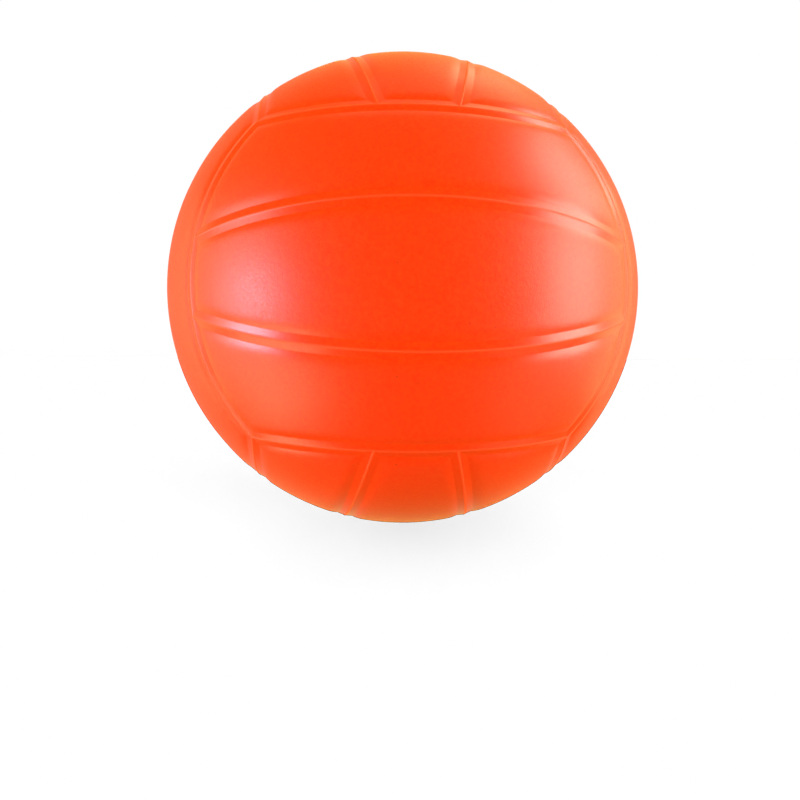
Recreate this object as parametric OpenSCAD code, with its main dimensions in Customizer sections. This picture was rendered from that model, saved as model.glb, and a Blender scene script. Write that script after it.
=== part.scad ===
// Moulded volleyball: eighteen cover panels over a cushion layer, a thread winding and a bladder.
// The ball's centre is the origin, +Z is up, the front face looks along -Y and the valve is on +Y.

/* [Ball] */
// Outside diameter of the inflated ball
ball_d = 210; // [150:1:260]

/* [Layers] */
// Thickness of a cover panel
panel_t = 2.4; // [1.6:0.1:4]
// Thickness of the cushion layer under the cover
cushion_t = 1.4; // [0.6:0.1:4]
// Thickness of the thread winding
winding_t = 0.8; // [0.4:0.1:2]
// Wall of the bladder
bladder_t = 0.9; // [0.5:0.1:2]
// Glue line between one layer and the next
glue_t = 0.02; // [0.01:0.01:0.1]

/* [Seams] */
// Lean of the seams between two faces, in degrees
edge_lean = -3.6; // [-12:0.1:6]
// Angle at the ball's centre from a face's middle to its inner seams, in degrees
strip_angle = 14.5; // [11:0.1:18]
// Lean of the inner seams, which narrows the middle strip towards its ends, in degrees
strip_lean = 16; // [6:0.1:20]
// Joint line between two neighbouring panels
seam_gap = 0.06; // [0.02:0.01:0.3]

/* [Seam relief] */
// Distance from a seam to the bottom of the groove beside it
groove_offset = 3.1; // [2:0.1:5]
// Width of a groove
groove_w = 6.4; // [4:0.1:8]
// Depth of a groove under the cover's surface
groove_depth = 0.5; // [0.3:0.05:1]
// Width of the shallow dish that softens both shoulders of a groove
dish_w = 8.6; // [8:0.1:12]
// Depth of that dish
dish_depth = 0.2; // [0.1:0.05:0.25]

/* [Valve] */
// Diameter of the valve's stem where it passes through the layers
stem_d = 9; // [7:0.1:14]
// Clearance around the stem, on the radius
stem_clear = 0.1; // [0.05:0.01:0.3]
// Diameter of the flange bonded inside the bladder
flange_d = 28; // [20:0.5:50]
// Thickness of the flange
flange_t = 1.5; // [0.8:0.1:3]
// Diameter of the boss that stands into the bladder
boss_d = 12; // [10:0.1:18]
// Length of the boss under the flange
boss_l = 8; // [5:0.1:14]
// Diameter of the self-sealing core
core_d = 5.6; // [4.5:0.1:8]
// Clearance around the core, on the radius
core_clear = 0.03; // [0.01:0.01:0.1]
// Height of the bead that locks the core in the stem
lock_h = 0.5; // [0.2:0.05:0.8]
// Depth of that bead's middle under the cover's surface
lock_depth = 8; // [6:0.1:10]
// Diameter of the needle's passage
needle_d = 2.4; // [1.8:0.1:3]
// Length of the straight part of the passage
needle_l = 8; // [4:0.1:10]
// Diameter of the passage's mouth
mouth_d = 3.6; // [3:0.1:4.4]
// Depth of the mouth's taper
mouth_l = 0.8; // [0.4:0.1:2]
// How far the stem and core sit below the cover's surface
valve_recess = 0.2; // [0:0.05:0.6]

/* [Hidden] */
$fn = 120;
ball_r = ball_d / 2;
panel_in_r = ball_r - panel_t;
cushion_r = panel_in_r - glue_t;
winding_r = cushion_r - cushion_t - glue_t;
bladder_r = winding_r - winding_t - glue_t;
flange_r = bladder_r - bladder_t - glue_t;
boss_end_r = flange_r - flange_t - boss_l;
valve_top_r = ball_r - valve_recess;

// Cutters reach this far from the centre, well clear of the cover
reach = 2 * ball_r;

// A panel's edge is cut by a cone that is all but square to the cover: its tip lies this far from the centre
tip_offset = 1;

// A seam is a circle on the ball. It is held as [direction of its axis, polar angle in degrees, place of
// its cone's tip on the axis], with the axis pointing away from the panel, so the panel lies at larger
// polar angles than the seam.
edge_polar = acos((sin(edge_lean) + cos(edge_lean)) / sqrt(3));
strip_polar = 90 - strip_angle + strip_lean;
function seam(axis, polar) = [axis, polar, tip_offset];
function flipped(seam) = [-seam[0], 180 - seam[1], -seam[2]];

// Seams of the front face. The side seams belong to the long edges of the left and right faces.
seam_top = seam([0, -sin(edge_lean), cos(edge_lean)], edge_polar);
seam_left = flipped(seam([-sin(edge_lean), -cos(edge_lean), 0], edge_polar));
seam_right = flipped(seam([sin(edge_lean), -cos(edge_lean), 0], edge_polar));
seam_above = seam([0, sin(strip_lean), cos(strip_lean)], strip_polar);
seam_below = seam([0, sin(strip_lean), -cos(strip_lean)], strip_polar);

// Each outline goes round its panel anticlockwise, seen from outside
outer_outline = [seam_right, seam_top, seam_left, flipped(seam_above)];
middle_outline = [seam_right, seam_above, seam_left, seam_below];

// Unit vector from the centre to the corner where one seam meets the next
function corner(a, b) =
    let (d = a[0] * b[0], ca = cos(a[1]), cb = cos(b[1]), k = 1 - d * d)
    let (p = (ca - cb * d) / k, q = (cb - ca * d) / k)
    let (t = sqrt((1 - p * p - q * q - 2 * p * q * d) / k))
    p * a[0] + q * b[0] + t * cross(a[0], b[0]);

// Direction at a corner that leads straight from a seam into its panel
function inward(seam, at) = let (g = (seam[0] * at) * at - seam[0]) g / norm(g);

// Normal of the mitre plane at a corner, pointing to the first seam's side
function mitre(seam, other, at) = inward(other, at) - inward(seam, at);

cover_colour = [1, 0.33, 0.1];
cushion_colour = [0.93, 0.9, 0.82];
thread_colour = [0.85, 0.82, 0.72];
bladder_colour = [0.12, 0.12, 0.13];
valve_colour = [0.16, 0.16, 0.16];
core_colour = [0.3, 0.3, 0.3];

// Turns what is built along +Z to lie along a direction
module along(direction) {
    rotate([0, acos(direction[2] / norm(direction)), atan2(direction[1], direction[0])])
        children();
}

// Everything on the far side of a seam, moved into the panel by half the joint line
module beyond(seam) {
    polar = seam[1] + asin(seam_gap / 2 / ball_r);
    tip = [0, seam[2]];
    rim = ball_r * [sin(polar), cos(polar)];
    along(seam[0])
        rotate_extrude()
            polygon([tip, tip + 2 * (rim - tip), [reach, reach], [0, reach]]);
}

// Half of space on one side of a plane through the centre
module half_space(normal) {
    along(normal)
        translate([-reach, -reach, 0])
            cube([2 * reach, 2 * reach, reach]);
}

// Ring-shaped channel beside a seam, given by its width and depth at the ball's surface
module channel(seam, width, depth) {
    tool_r = (width * width / 4 + depth * depth) / (2 * depth);
    polar = seam[1] + groove_offset / ball_r * 180 / PI;
    centre_r = ball_r - depth + tool_r;
    along(seam[0])
        rotate_extrude()
            translate(centre_r * [sin(polar), cos(polar)])
                circle(r = tool_r);
}

// Relief beside one seam of a panel, ending in a mitre at both corners
module relief(seam, before, after) {
    intersection() {
        union() {
            channel(seam, groove_w, groove_depth);
            channel(seam, dish_w, dish_depth);
        }
        half_space(mitre(seam, before, corner(before, seam)));
        half_space(mitre(seam, after, corner(seam, after)));
    }
}

// Cuts its children along the seams of an outline, one seam after another
module trimmed(outline, last) {
    if (last < 0)
        children();
    else
        difference() {
            trimmed(outline, last - 1)
                children();
            beyond(outline[last]);
        }
}

// Sinks the relief beside each seam of an outline, one seam after another
module relieved(outline, last) {
    count = len(outline);
    if (last < 0)
        children();
    else
        difference() {
            relieved(outline, last - 1)
                children();
            relief(outline[last], outline[(last + count - 1) % count], outline[(last + 1) % count]);
        }
}

// One cover panel, cut from the cover's shell along its outline
module panel(outline) {
    last = len(outline) - 1;
    color(cover_colour)
        relieved(outline, last)
            trimmed(outline, last)
                difference() {
                    sphere(r = ball_r);
                    sphere(r = panel_in_r);
                }
}

// The two panel shapes, as they lie on the front face
module outer_panel() {
    panel(outer_outline);
}

module middle_panel() {
    panel(middle_outline);
}

// The six faces: each turns the front face's panel to its own place
module to_back() {
    rotate([0, 0, 180])
        children();
}

module to_bottom() {
    rotate([90, 0, 90])
        children();
}

module to_top() {
    rotate([180, 0, 0])
        to_bottom()
            children();
}

module to_left() {
    rotate([-90, -90, 0])
        children();
}

module to_right() {
    rotate([0, 0, 180])
        to_left()
            children();
}

// Swaps the two outer strips of the front face
module turned_over() {
    rotate([0, 180, 0])
        children();
}

module front_panel_upper() {
    outer_panel();
}

module front_panel_middle() {
    middle_panel();
}

module front_panel_lower() {
    turned_over()
        outer_panel();
}

module back_panel_upper() {
    to_back()
        outer_panel();
}

// The middle panel of the back has the hole that the valve's stem comes through
module back_panel_middle() {
    color(cover_colour)
        difference() {
            to_back()
                middle_panel();
            stem_hole();
        }
}

module back_panel_lower() {
    to_back()
        turned_over()
            outer_panel();
}

module left_panel_front() {
    to_left()
        turned_over()
            outer_panel();
}

module left_panel_middle() {
    to_left()
        middle_panel();
}

module left_panel_back() {
    to_left()
        outer_panel();
}

module right_panel_front() {
    to_right()
        outer_panel();
}

module right_panel_middle() {
    to_right()
        middle_panel();
}

module right_panel_back() {
    to_right()
        turned_over()
            outer_panel();
}

module top_panel_left() {
    to_top()
        turned_over()
            outer_panel();
}

module top_panel_middle() {
    to_top()
        middle_panel();
}

module top_panel_right() {
    to_top()
        outer_panel();
}

module bottom_panel_left() {
    to_bottom()
        turned_over()
            outer_panel();
}

module bottom_panel_middle() {
    to_bottom()
        middle_panel();
}

module bottom_panel_right() {
    to_bottom()
        outer_panel();
}

// Way through the layers for the valve's stem
module stem_hole() {
    along([0, 1, 0])
        cylinder(d = stem_d + 2 * stem_clear, h = reach);
}

// A closed layer of the ball with the stem's hole in it
module layer(outer_r, thickness) {
    difference() {
        sphere(r = outer_r);
        sphere(r = outer_r - thickness);
        stem_hole();
    }
}

module cushion_layer() {
    color(cushion_colour)
        layer(cushion_r, cushion_t);
}

module thread_winding() {
    color(thread_colour)
        layer(winding_r, winding_t);
}

module bladder() {
    color(bladder_colour)
        layer(bladder_r, bladder_t);
}

// Ring that locks the core in the stem: the bead on the core, or its groove when clear is added
module lock_ring(clear) {
    bead_r = lock_h + clear;
    rotate_extrude()
        translate([core_d / 2 - lock_h / 2, ball_r - lock_depth])
            circle(r = bead_r);
}

// Rubber housing: stem through the layers, flange curved to the bladder, boss inside it
module valve_body() {
    color(valve_colour)
        along([0, 1, 0])
            difference() {
                union() {
                    intersection() {
                        sphere(r = valve_top_r);
                        translate([0, 0, flange_r - flange_t])
                            cylinder(d = stem_d, h = ball_r);
                    }
                    intersection() {
                        difference() {
                            sphere(r = flange_r);
                            sphere(r = flange_r - flange_t);
                        }
                        cylinder(d = flange_d, h = ball_r);
                    }
                    translate([0, 0, boss_end_r])
                        cylinder(d = boss_d, h = flange_r - flange_t / 2 - boss_end_r);
                }
                cylinder(d = core_d + 2 * core_clear, h = reach);
                lock_ring(core_clear);
            }
}

// Self-sealing insert with a tapered mouth, a needle's passage and a closed inner end
module valve_core() {
    color(core_colour)
        along([0, 1, 0])
            difference() {
                union() {
                    intersection() {
                        sphere(r = valve_top_r);
                        translate([0, 0, boss_end_r])
                            cylinder(d = core_d, h = ball_r);
                    }
                    lock_ring(0);
                }
                translate([0, 0, valve_top_r - mouth_l - needle_l])
                    cylinder(d = needle_d, h = reach);
                translate([0, 0, valve_top_r - mouth_l])
                    cylinder(d1 = needle_d, d2 = mouth_d, h = mouth_l);
            }
}

front_panel_upper();
front_panel_middle();
front_panel_lower();
back_panel_upper();
back_panel_middle();
back_panel_lower();
left_panel_front();
left_panel_middle();
left_panel_back();
right_panel_front();
right_panel_middle();
right_panel_back();
top_panel_left();
top_panel_middle();
top_panel_right();
bottom_panel_left();
bottom_panel_middle();
bottom_panel_right();
cushion_layer();
thread_winding();
bladder();
valve_body();
valve_core();
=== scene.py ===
import math

import bmesh
import bpy
from mathutils import Matrix, Vector


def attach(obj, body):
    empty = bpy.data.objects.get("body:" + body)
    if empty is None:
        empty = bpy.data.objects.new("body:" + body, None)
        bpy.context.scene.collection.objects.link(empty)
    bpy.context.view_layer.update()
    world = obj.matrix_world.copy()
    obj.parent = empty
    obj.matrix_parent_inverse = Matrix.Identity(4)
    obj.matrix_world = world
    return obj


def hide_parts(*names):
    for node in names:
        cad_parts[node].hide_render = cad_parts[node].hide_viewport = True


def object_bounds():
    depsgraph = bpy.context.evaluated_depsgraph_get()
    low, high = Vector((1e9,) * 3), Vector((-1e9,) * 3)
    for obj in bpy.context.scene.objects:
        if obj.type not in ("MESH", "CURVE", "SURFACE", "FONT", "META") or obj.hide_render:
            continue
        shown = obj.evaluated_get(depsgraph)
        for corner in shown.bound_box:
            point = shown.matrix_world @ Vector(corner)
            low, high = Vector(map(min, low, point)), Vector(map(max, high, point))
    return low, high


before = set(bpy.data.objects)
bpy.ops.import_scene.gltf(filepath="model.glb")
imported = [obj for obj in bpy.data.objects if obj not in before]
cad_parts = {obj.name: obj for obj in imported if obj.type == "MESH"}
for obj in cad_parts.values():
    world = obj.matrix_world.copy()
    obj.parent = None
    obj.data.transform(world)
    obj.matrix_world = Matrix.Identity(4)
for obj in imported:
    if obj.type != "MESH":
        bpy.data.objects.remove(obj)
cad_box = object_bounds()


# Bladder: a thin airtight sphere of black rubber, moulded in halves and cured into one.
# The inside of the mould is dusted, so the rubber keeps a dull bloom in soft clouds.
def start_material(name, **values):
    """A new node material; each value goes on the shader's socket of that name."""
    material = bpy.data.materials.new(name)
    material.use_nodes = True
    shader = material.node_tree.nodes["Principled BSDF"]
    for socket, value in values.items():
        shader.inputs[socket.replace("_", " ")].default_value = value
    return material


def add_node(material, kind, values, **settings):
    """A new node; a value that is another node's socket is linked, any other is set."""
    tree = material.node_tree
    node = tree.nodes.new(kind)
    for name, setting in settings.items():
        setattr(node, name, setting)
    for socket, value in values.items():
        if isinstance(value, bpy.types.NodeSocket):
            tree.links.new(value, node.inputs[socket])
        else:
            node.inputs[socket].default_value = value
    return node


def place(material):
    """Object coordinates: every piece sits at the origin, so a pattern runs on from piece to piece."""
    return add_node(material, "ShaderNodeTexCoord", {}).outputs["Object"]


def clouds(material, grain, detail=2.0):
    """Noise between 0 and 1 whose clouds are about as wide as the grain, in metres."""
    values = {"Vector": place(material), "Scale": 1 / grain, "Detail": detail}
    return add_node(material, "ShaderNodeTexNoise", values).outputs["Fac"]


def ramp(material, factor, *stops):
    """Colours along a factor between two stops, each given as its place and its colour."""
    node = add_node(material, "ShaderNodeValToRGB", {"Fac": factor})
    for element, (at, colour) in zip(node.color_ramp.elements, stops):
        element.position = at
        element.color = (*colour, 1)
    return node.outputs["Color"]


def spread(material, factor, low, high, start=0.3, end=0.7):
    """A factor between start and end, stretched to run from low to high."""
    values = {"Value": factor, "From Min": start, "From Max": end, "To Min": low, "To Max": high}
    return add_node(material, "ShaderNodeMapRange", values).outputs["Result"]


def bump(material, height, rise):
    """Surface normal with the height's full range standing this far up, in metres."""
    values = {"Height": height, "Distance": rise, "Strength": 1.0}
    return add_node(material, "ShaderNodeBump", values).outputs["Normal"]


def finish_material(material, **links):
    """Links each socket to the shader's socket of that name."""
    shader = material.node_tree.nodes["Principled BSDF"]
    for socket, source in links.items():
        material.node_tree.links.new(source, shader.inputs[socket.replace("_", " ")])
    return material


def dress(node, material):
    """Gives a CAD node's object its finished material."""
    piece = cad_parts[node]
    piece.data.materials.clear()
    piece.data.materials.append(material)


bladder_black = (0.016, 0.016, 0.018)
bladder_bloom = (0.055, 0.054, 0.052)
bloom_size = 0.014
pore_size = 0.0012
pore_depth = 0.00003
bladder_roughness = (0.45, 0.72)
bladder_rubber = start_material("bladder_rubber", Specular_IOR_Level=0.4)
bloom = clouds(bladder_rubber, bloom_size, detail=4.0)
finish_material(
    bladder_rubber,
    Base_Color=ramp(bladder_rubber, bloom, (0.35, bladder_black), (0.75, bladder_bloom)),
    Roughness=spread(bladder_rubber, bloom, *bladder_roughness),
    Normal=bump(bladder_rubber, clouds(bladder_rubber, pore_size), pore_depth),
)
dress("bladder", bladder_rubber)


# Valve: a rubber housing with a flange bonded inside the bladder, and a self-sealing core pressed in.
# Both are moulded; the core is of a softer and slightly paler rubber.
wear_size = 0.0025
valve_grain_rise = 0.00002
valve_roughness = (0.42, 0.62)
body_dark = (0.02, 0.02, 0.02)
body_pale = (0.05, 0.048, 0.046)
body_grain = 0.0004
core_dark = (0.05, 0.048, 0.046)
core_pale = (0.09, 0.086, 0.08)
core_grain = 0.0003


def valve_rubber(name, dark, pale, grain):
    """Dark moulded rubber with its own two tones and the size of its grain."""
    material = start_material(name, Specular_IOR_Level=0.45)
    wear = clouds(material, wear_size, detail=3.0)
    return finish_material(
        material,
        Base_Color=ramp(material, wear, (0.3, dark), (0.8, pale)),
        Roughness=spread(material, wear, *valve_roughness),
        Normal=bump(material, clouds(material, grain), valve_grain_rise),
    )


dress("valve_body", valve_rubber("valve_body_rubber", body_dark, body_pale, body_grain))
dress("valve_core", valve_rubber("valve_core_rubber", core_dark, core_pale, core_grain))


# Thread winding: kilometres of thin nylon thread wound round the bladder in every direction and glued.
# It shows as fine ribs that cross each other, with painted shade in the hollows between them.
thread_pitch = 0.0007
thread_rise = 0.0002
thread_turns = ((0, 0, 0), (55, 20, 0), (20, 70, 40))
thread_cream = (0.62, 0.57, 0.42)
thread_painted_shade = (0.3, 0.25, 0.15)

# A wave texture of scale 1 has a wave this long, in metres
wave_period = 0.314
thread = start_material("wound_thread", Roughness=0.6, Specular_IOR_Level=0.3)
ribs = None
for lay in thread_turns:
    angles = [math.radians(angle) for angle in lay]
    turned = add_node(thread, "ShaderNodeMapping", {"Vector": place(thread), "Rotation": angles})
    wave_values = {
        "Vector": turned.outputs["Vector"],
        "Scale": wave_period / thread_pitch,
        "Distortion": 1.5,
        "Detail": 1.0,
        "Detail Scale": 0.02,
    }
    rib = add_node(thread, "ShaderNodeTexWave", wave_values, bands_direction="Z").outputs["Fac"]
    if ribs:
        higher = add_node(thread, "ShaderNodeMath", {0: ribs, 1: rib}, operation="MAXIMUM")
        ribs = higher.outputs["Value"]
    else:
        ribs = rib
# Where the ribs are low, the darker colour is painted shade
finish_material(
    thread,
    Base_Color=ramp(thread, ribs, (0.25, thread_painted_shade), (0.85, thread_cream)),
    Normal=bump(thread, ribs, thread_rise),
)
dress("thread_winding", thread)


# Cushion layer: a soft sheet of foamed rubber under the cover, bonded to the winding all over.
# It is off-white and full of fine closed cells.
foam_cell = 0.0009
foam_cell_depth = 0.00015
foam_cloud = 0.006
foam_pale = (0.78, 0.74, 0.64)
foam_shade = (0.52, 0.47, 0.38)
foam = start_material("cushion_foam", Roughness=0.85, Specular_IOR_Level=0.2)
cells = add_node(foam, "ShaderNodeTexVoronoi", {"Vector": place(foam), "Scale": 1 / foam_cell})
finish_material(
    foam,
    Base_Color=ramp(foam, clouds(foam, foam_cloud, detail=5.0), (0.3, foam_shade), (0.7, foam_pale)),
    Normal=bump(foam, cells.outputs["Distance"], foam_cell_depth),
)
dress("cushion_layer", foam)


# Cover panels: eighteen strips of orange rubber, six faces of three, cured onto the ball in a mould.
# Every seam is a thin bead between two shallow grooves, mitred where seams meet, with a crease on top.
ball_radius = (cad_box[1].x - cad_box[0].x) / 2
panel_thickness = 0.0024
panel_back = ball_radius - panel_thickness
joint_line = 0.00006
edge_lean = math.radians(-3.6)
strip_angle = math.radians(14.5)
strip_lean = math.radians(16)


def turn(angle, axis):
    """Turn about one of the frame's axes, in degrees."""
    return Matrix.Rotation(math.radians(angle), 4, axis)


# The relief's section beside a seam, over the thin bead, down its flank, round the groove's bottom, up
# the wall and over the shoulder: a knot is a distance from the seam and the slope there, in degrees
crest = (0, 0)
bead_side = (0.00035, 24)
flank_start = (0.0006, 9.5)
flank_end = (0.003, 6.5)
wall_start = (0.0034, -13)
shoulder = (0.0076, 0)
relief_knots = (crest, bead_side, flank_start, flank_end, wall_start, shoulder)
crease_round = 0.00006


def arc_drop(radius, run):
    """How far an arc falls away from its tangent over a run."""
    return radius - math.sqrt(radius ** 2 - run ** 2)


def relief_depth(offset):
    """Depth of the cover under the ball's round, this far from the nearest seam."""
    depth = 0
    for (start, slope), (end, next_slope) in zip(relief_knots, relief_knots[1:]):
        if offset < end:
            grade = math.tan(math.radians(slope))
            next_grade = math.tan(math.radians(next_slope))
            left = min(1, (end - offset) / (end - start))
            first_grade = next_grade + (grade - next_grade) * left
            depth -= (first_grade + next_grade) / 2 * (end - start) * left
    if offset < crease_round:
        depth += arc_drop(crease_round, crease_round - offset)
    return depth


# A seam is a circle on the ball, given as an axis and the polar angle from it; the panel lies beyond
edge_polar = math.acos((math.sin(edge_lean) + math.cos(edge_lean)) / math.sqrt(3))
strip_polar = math.pi / 2 - strip_angle + strip_lean
seam_top = (Vector((0, -math.sin(edge_lean), math.cos(edge_lean))), edge_polar)
seam_left = (Vector((math.sin(edge_lean), math.cos(edge_lean), 0)), math.pi - edge_polar)
seam_right = (Vector((-math.sin(edge_lean), math.cos(edge_lean), 0)), math.pi - edge_polar)
seam_above = (Vector((0, math.sin(strip_lean), math.cos(strip_lean))), strip_polar)
seam_below = (Vector((0, math.sin(strip_lean), -math.cos(strip_lean))), strip_polar)
seam_under = (-seam_above[0], math.pi - strip_polar)


def seam_offset(seam, direction):
    """Distance over the ball from a seam to a point of the panel, in a direction from the centre."""
    axis, polar = seam
    return ball_radius * (math.acos(axis.dot(direction)) - polar)


def beside(seam, offset):
    """Plane of the circle that runs beside a seam inside the panel: its normal and its distance."""
    axis, polar = seam
    return axis, math.cos(polar + offset / ball_radius)


def between(first, last, direction):
    """Plane in the fan between two planes, facing the same way as the first, through a direction."""
    gap_first = first[0].dot(direction) - first[1]
    gap_last = last[0].dot(direction) - last[1]
    share = gap_first / (gap_first + gap_last)
    return first[0].lerp(-last[0], share), first[1] * (1 - share) - last[1] * share


def meet(row, column):
    """Direction to the point of the front face where two planes cross on the unit ball."""
    line = row[0].cross(column[0])
    foot = (row[1] * column[0].cross(line) + column[1] * line.cross(row[0])) / line.length_squared
    reach = math.sqrt((1 - foot.length_squared) / line.length_squared)
    return min(foot + reach * line, foot - reach * line, key=lambda point: point.y)


def steps(low, high, count):
    """Evenly spaced values from low, which is left out, up to high."""
    return [low + (high - low) * part / count for part in range(1, count + 1)]


# Lines of the panels' net from the seam inwards: over the crease, from knot to knot, past the shoulder
crease_steps = 3
knot_steps = 4
past_shoulder = 0.0012
net_lines = [joint_line / 2]
net_lines += steps(net_lines[-1], joint_line / 2 + crease_round, crease_steps)
for knot in relief_knots[1:]:
    net_lines += steps(net_lines[-1], knot[0], knot_steps)
net_lines.append(net_lines[-1] + past_shoulder)


def net(first, last, open_points):
    """Planes of a panel's net from one seam across the open panel to the opposite seam."""
    inner_first = beside(first, net_lines[-1])
    inner_last = beside(last, net_lines[-1])
    across = [between(inner_first, inner_last, point) for point in open_points]
    return (
        [beside(first, offset) for offset in net_lines]
        + across
        + [beside(last, offset) for offset in reversed(net_lines)]
    )


def open_steps(low, high, step):
    """Angles that divide the open span between two angles into even steps, without its ends."""
    return steps(low, high, math.ceil((high - low) / step))[:-1]


open_size = 0.0028
net_step = open_size / ball_radius
net_margin = net_lines[-1] / ball_radius
face_half_width = edge_polar + edge_lean
face_top = math.pi / 2 - edge_lean - edge_polar


def column_points(angles):
    """Directions across the middle of the front face, to the right of its centre by each angle."""
    return [Vector((math.sin(angle), -math.cos(angle), 0)) for angle in angles]


def row_points(angles):
    """Directions up the middle of the front face, above its centre by each angle."""
    return [Vector((0, -math.cos(angle), math.sin(angle))) for angle in angles]


def panel_net(rows, columns):
    """A panel of the front face as a flat net laid onto the unit ball, mitred at its four corners."""
    shape = bmesh.new()
    last_row = len(rows) - 1
    last_column = len(columns) - 1
    bmesh.ops.create_grid(shape, x_segments=last_column, y_segments=last_row, size=1)
    knots = {}
    for vert in shape.verts:
        column = round((vert.co.x + 1) / 2 * last_column)
        row = round((vert.co.y + 1) / 2 * last_row)
        vert.co = meet(rows[row], columns[column])
        knots[column, row] = vert
    for line in range(len(net_lines) - 1):
        for column, right in ((line, 1), (last_column - line, -1)):
            for row, up in ((line, 1), (last_row - line, -1)):
                mitre = [knots[column, row], knots[column + right, row + up]]
                bmesh.ops.connect_verts(shape, verts=mitre)
    return shape


def share_inside(offset, inner, outer):
    """1 from the seam to the inner knot, falling to 0 at the outer one."""
    return min(1, max(0, (outer[0] - offset) / (outer[0] - inner[0])))


lip_round = 0.0006


def thicken(shape, outline, hole=0):
    """Gives a net on the unit ball its inner wall, its relief and the lip of its hole."""
    seam_layer = shape.verts.layers.float.new("seam")
    bead_layer = shape.verts.layers.float.new("bead")
    walls = bmesh.ops.extrude_face_region(shape, geom=shape.faces[:], use_keep_orig=True)
    outside = {item for item in walls["geom"] if isinstance(item, bmesh.types.BMVert)}
    for vert in shape.verts:
        radius = panel_back
        if vert in outside:
            offset = min(seam_offset(seam, vert.co) for seam in outline)
            lip = max(0, ball_radius * math.hypot(*vert.co.xz) - hole)
            radius = ball_radius - relief_depth(offset)
            if hole and lip < lip_round:
                radius -= arc_drop(lip_round, lip_round - lip)
            vert[seam_layer] = share_inside(offset, wall_start, shoulder)
            vert[bead_layer] = share_inside(offset, bead_side, flank_start)
        vert.co *= radius
    bmesh.ops.recalc_face_normals(shape, faces=shape.faces)


column_angles = open_steps(-face_half_width + net_margin, face_half_width - net_margin, net_step)
side_columns = net(seam_left, seam_right, column_points(column_angles))

outer_outline = (seam_right, seam_top, seam_left, seam_under)
outer_angles = open_steps(strip_angle + net_margin, face_top - net_margin, net_step)
outer_panel = panel_net(net(seam_under, seam_top, row_points(outer_angles)), side_columns)
thicken(outer_panel, outer_outline)

middle_outline = (seam_right, seam_above, seam_left, seam_below)
middle_angles = open_steps(-strip_angle + net_margin, strip_angle - net_margin, net_step)
middle_rows = net(seam_below, seam_above, row_points(middle_angles))
middle_panel = panel_net(middle_rows, side_columns)
valve_panel = middle_panel.copy()
thicken(middle_panel, middle_outline)

# The valve's panel: a round opening in the net's middle, ringed down to the lip of the valve's hole
hole_radius = 0.00465
lip_shares = (1.0, 0.6, 0.3, 0.1, 0.0)
ring_start = 0.0066
ring_segments = 48
opening = 0.009 / ball_radius
inner_faces = [
    face for face in valve_panel.faces
    if math.hypot(*face.calc_center_median().xz) < opening
]
bmesh.ops.delete(valve_panel, geom=inner_faces, context="FACES")
ragged = [
    edge for edge in valve_panel.edges
    if edge.is_boundary and math.hypot(*edge.verts[0].co.xz) < 2 * opening
]
ring_radii = [ring_start] + [hole_radius + lip_round * share for share in lip_shares]
circle = bmesh.ops.create_circle(valve_panel, segments=ring_segments, radius=1, matrix=turn(90, "X"))
ring = list({edge for vert in circle["verts"] for edge in vert.link_edges})
for index, radius in enumerate(ring_radii):
    if index > 0:
        drawn = bmesh.ops.extrude_edge_only(valve_panel, edges=ring)["geom"]
        ring = [item for item in drawn if isinstance(item, bmesh.types.BMEdge) and item.is_boundary]
    for vert in {vert for edge in ring for vert in edge.verts}:
        across = vert.co.xz.normalized() * radius / ball_radius
        vert.co = (across.x, -math.sqrt(1 - across.length_squared), across.y)
    if index == 0:
        bmesh.ops.bridge_loops(valve_panel, edges=ragged + ring)
thicken(valve_panel, middle_outline, hole_radius)

# Orange rubber: finely grained on the panels and smooth in the grooves, with a few tiny dark specks;
# the bead is painted paler, a painted highlight along its crest, and it is dull
cover_orange = (0.99, 0.031, 0.0005)
cover_light = (1.0, 0.05, 0.002)
bead_painted_highlight = (1.0, 0.058, 0.006)
cover_speck = (0.2, 0.012, 0.006)
cover_sheen = (1.0, 0.62, 0.02, 1)
grain_size = 0.0006
mottle_size = 0.0014
speck_cell = 0.009
speck_core = 0.00012
speck_edge = 0.00028
panel_rise = 0.00006
groove_rise = 0.00001
panel_roughness = (0.31, 0.5)
groove_roughness = 0.28
bead_roughness = 0.5
cover = start_material(
    "orange_rubber",
    Specular_IOR_Level=0.58,
    Sheen_Weight=0.25,
    Sheen_Roughness=0.38,
    Sheen_Tint=cover_sheen,
)
seam = add_node(cover, "ShaderNodeAttribute", {}, attribute_name="seam").outputs["Fac"]
bead = add_node(cover, "ShaderNodeAttribute", {}, attribute_name="bead").outputs["Fac"]
grain = clouds(cover, grain_size)
mottle = clouds(cover, mottle_size, detail=3.0)
specks = add_node(cover, "ShaderNodeTexVoronoi", {"Vector": place(cover), "Scale": 1 / speck_cell})
speck_distance = specks.outputs["Distance"]
speck = spread(cover, speck_distance, 1, 0, speck_core / speck_cell, speck_edge / speck_cell)


def mix(material, factor, first, second):
    """The first colour where the factor is 0, the second where it is 1."""
    values = {"Fac": factor, "Color1": first, "Color2": (*second, 1)}
    return add_node(material, "ShaderNodeMixRGB", values).outputs["Color"]


tones = ramp(cover, mottle, (0.3, cover_orange), (0.7, cover_light))
panel_gloss = spread(cover, grain, *panel_roughness)
groove_gloss = spread(cover, seam, panel_gloss, groove_roughness, 0, 1)
# The bead's paler colour is a painted highlight along its crest
finish_material(
    cover,
    Base_Color=mix(cover, speck, mix(cover, bead, tones, bead_painted_highlight), cover_speck),
    Roughness=spread(cover, bead, groove_gloss, bead_roughness, 0, 1),
    Normal=bump(cover, grain, spread(cover, seam, panel_rise, groove_rise, 0, 1)),
)

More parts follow.
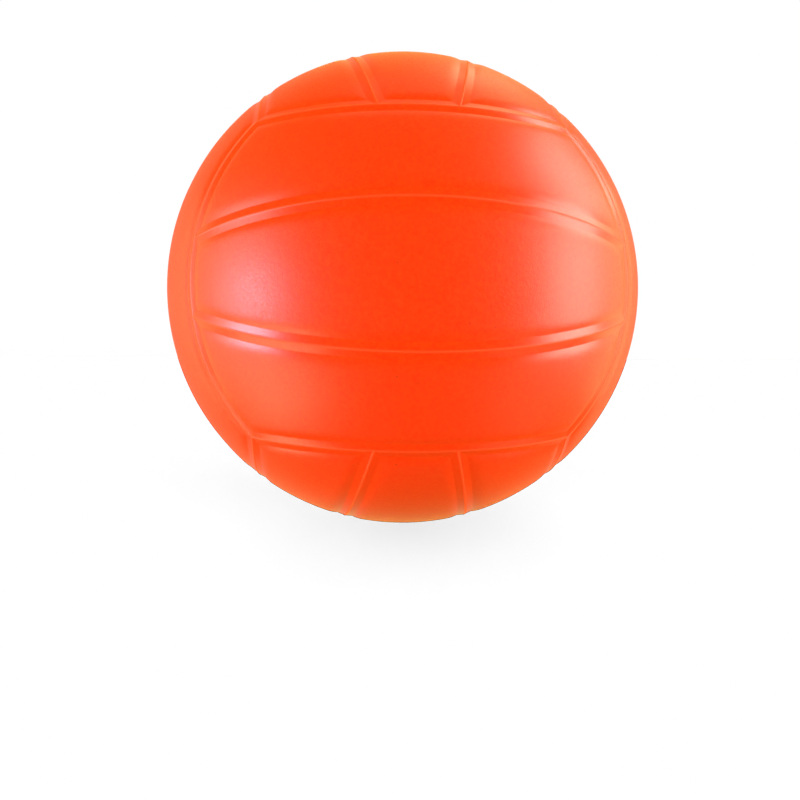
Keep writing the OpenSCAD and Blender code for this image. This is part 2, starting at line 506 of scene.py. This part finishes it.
# The strips of every face: two outer ones, the second turned half round, and a middle one between
to_bottom = turn(90, "Z") @ turn(90, "X")
to_left = turn(-90, "Y") @ turn(-90, "X")
faces = {
    "front": (Matrix.Identity(4), ("upper", "middle", "lower")),
    "back": (turn(180, "Z"), ("upper", "middle", "lower")),
    "left": (to_left, ("back", "middle", "front")),
    "right": (turn(180, "Z") @ to_left, ("front", "middle", "back")),
    "top": (turn(180, "X") @ to_bottom, ("right", "middle", "left")),
    "bottom": (to_bottom, ("right", "middle", "left")),
}
crease_angle = math.radians(40)
for face, (to_face, strips) in faces.items():
    centre_panel = valve_panel if face == "back" else middle_panel
    shapes = (outer_panel, centre_panel, outer_panel)
    turns = (to_face, to_face, to_face @ turn(180, "Y"))
    for strip, shape, to_place in zip(strips, shapes, turns):
        panel = shape.copy()
        panel.transform(to_place)
        mesh = bpy.data.meshes.new(f"{face}_{strip}_cover")
        panel.to_mesh(mesh)
        panel.free()
        mesh.shade_smooth()
        mesh.set_sharp_from_angle(angle=crease_angle)
        mesh.materials.append(cover)
        piece = bpy.data.objects.new(f"{face}_{strip}_cover", mesh)
        bpy.context.scene.collection.objects.link(piece)
        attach(piece, "root")
        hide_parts(f"{face}_panel_{strip}")
for shape in (outer_panel, middle_panel, valve_panel):
    shape.free()


# Floor: a plain white sheet that the ball stands on. It keeps the ball's soft shadow,
# and it neither lights the rubber nor shows in its gloss.
floor_size = 3.0
floor_mesh = bpy.data.meshes.new("floor")
floor_shape = bmesh.new()
bmesh.ops.create_grid(floor_shape, x_segments=1, y_segments=1, size=floor_size / 2)
bmesh.ops.translate(floor_shape, verts=floor_shape.verts, vec=(0, 0, cad_box[0].z))
floor_shape.to_mesh(floor_mesh)
floor_shape.free()
floor_white = start_material("floor_white", Base_Color=(0.9, 0.9, 0.9, 1), Roughness=0.9)
floor_mesh.materials.append(floor_white)
floor = bpy.data.objects.new("floor", floor_mesh)
floor.is_shadow_catcher = True
floor.visible_diffuse = False
floor.visible_glossy = False
floor.visible_shadow = False
bpy.context.scene.collection.objects.link(floor)


# Studio light: a white sweep behind the ball in a dim room, softboxes at both sides, behind and above.
# Dull fills, which show in no gloss, even out the rubber's own colour.
room_level = 0.03
sweep_level = 0.44
sweep_rise = math.radians(3)
sweep_start = 0.5
sweep_end = 0.95
lamp_distance = 1.2
world = bpy.data.worlds.new("studio")
world.use_nodes = True
outward = add_node(world, "ShaderNodeTexCoord", {}).outputs["Generated"]
sweep_values = {0: outward, 1: (0, math.cos(sweep_rise), math.sin(sweep_rise))}
depth = add_node(world, "ShaderNodeVectorMath", sweep_values, operation="DOT_PRODUCT").outputs["Value"]
sweep = spread(world, depth, room_level, sweep_level, sweep_start, sweep_end)
seen = add_node(world, "ShaderNodeLightPath", {}).outputs["Is Camera Ray"]
level = add_node(world, "ShaderNodeMath", {0: sweep, 1: seen}, operation="MAXIMUM").outputs["Value"]
background = world.node_tree.nodes["Background"]
background.inputs["Color"].default_value = (1, 1, 1, 1)
world.node_tree.links.new(level, background.inputs["Strength"])
bpy.context.scene.world = world


def add_lamp(lamp, azimuth, elevation):
    """Stands a lamp facing the ball's centre; the azimuth turns right from the ball's front."""
    holder = bpy.data.objects.new(lamp.name, lamp)
    holder.matrix_world = (
        turn(azimuth, "Z") @ turn(90 - elevation, "X") @ Matrix.Translation((0, 0, lamp_distance))
    )
    holder.visible_camera = False
    bpy.context.scene.collection.objects.link(holder)
    return holder


def softbox(name, azimuth, elevation, width, height, power, tint):
    """A rectangular lamp that throws no shadow."""
    lamp = bpy.data.lights.new(name, "AREA")
    lamp.shape = "RECTANGLE"
    lamp.size = width
    lamp.size_y = height
    lamp.energy = power
    lamp.color = tint
    lamp.use_shadow = False
    add_lamp(lamp, azimuth, elevation)


# Fills lower than this throw no shadow, so that none lies along the floor
shadow_elevation = 20


def dull_fill(name, azimuth, elevation, spread_angle, power):
    """Soft light from one side of the room, which shows in no gloss."""
    lamp = bpy.data.lights.new(name, "SUN")
    lamp.angle = math.radians(spread_angle)
    lamp.energy = power
    lamp.use_shadow = elevation > shadow_elevation
    lamp.cycles.use_multiple_importance_sampling = False
    add_lamp(lamp, azimuth, elevation).visible_glossy = False


cool_white = (0.95, 0.68, 1.0)
pale_white = (1.0, 1.0, 0.89)
warm_white = (1.0, 0.98, 0.6)
amber_white = (1.0, 0.98, 0.5)

# Azimuth and elevation in degrees, width and height in metres, power in watts, and the tint
softbox("left_softbox", -78, 2, 0.75, 0.95, 5, pale_white)
softbox("left_core", -71, -4, 0.42, 0.4, 6.6, cool_white)
softbox("left_low", -74, -38, 0.8, 0.6, 4.4, warm_white)
softbox("left_rim", -115, -5, 0.5, 1.2, 2.1, amber_white)
softbox("right_softbox", 76, 2, 0.65, 0.85, 11.5, pale_white)
softbox("right_core", 93, 35, 0.6, 0.6, 5.7, pale_white)
softbox("right_low", 70, -40, 0.8, 0.6, 0.8, warm_white)
softbox("right_rim", 113, 0, 0.5, 1.2, 2.9, amber_white)
softbox("back_softbox", 142, 55, 0.4, 0.5, 1, warm_white)
softbox("top_softbox", 180, 80, 0.8, 0.35, 0.3, pale_white)

# Azimuth, elevation and spread in degrees, and the strength
dull_fill("front_fill", 0, 26, 145, 1.05)
dull_fill("top_fill", 0, 80, 90, 0.4)
dull_fill("right_fill", 72, -3, 60, 2.7)
dull_fill("left_fill", -72, 10, 60, 2.6)
dull_fill("back_fill", 180, 0, 60, 1.6)


# Camera: at about the ball's own height and a little to one side of its front, close to it.
# The lens and its shift put the ball's outline where the photo has it.
camera_distance = 0.3571
camera_turn = 3.69
camera_rise = -2.62
camera_roll = -0.53
frame_pixels = 800
ball_centre_pixel = (402.5, 286.9)
focal_pixels = 765.8
camera_data = bpy.data.cameras.new("camera")
camera_data.sensor_width = 36
camera_data.lens = camera_data.sensor_width * focal_pixels / frame_pixels
camera_data.shift_x = 0.5 - ball_centre_pixel[0] / frame_pixels
camera_data.shift_y = ball_centre_pixel[1] / frame_pixels - 0.5
camera_data.clip_start = 0.01
camera = bpy.data.objects.new("camera", camera_data)
camera.matrix_world = (
    turn(90, "X")
    @ turn(-camera_turn, "Y")
    @ turn(-camera_rise, "X")
    @ turn(-camera_roll, "Z")
    @ Matrix.Translation((0, 0, camera_distance))
)
bpy.context.scene.collection.objects.link(camera)
bpy.context.scene.camera = camera
bpy.context.scene.view_settings.view_transform = "Standard"
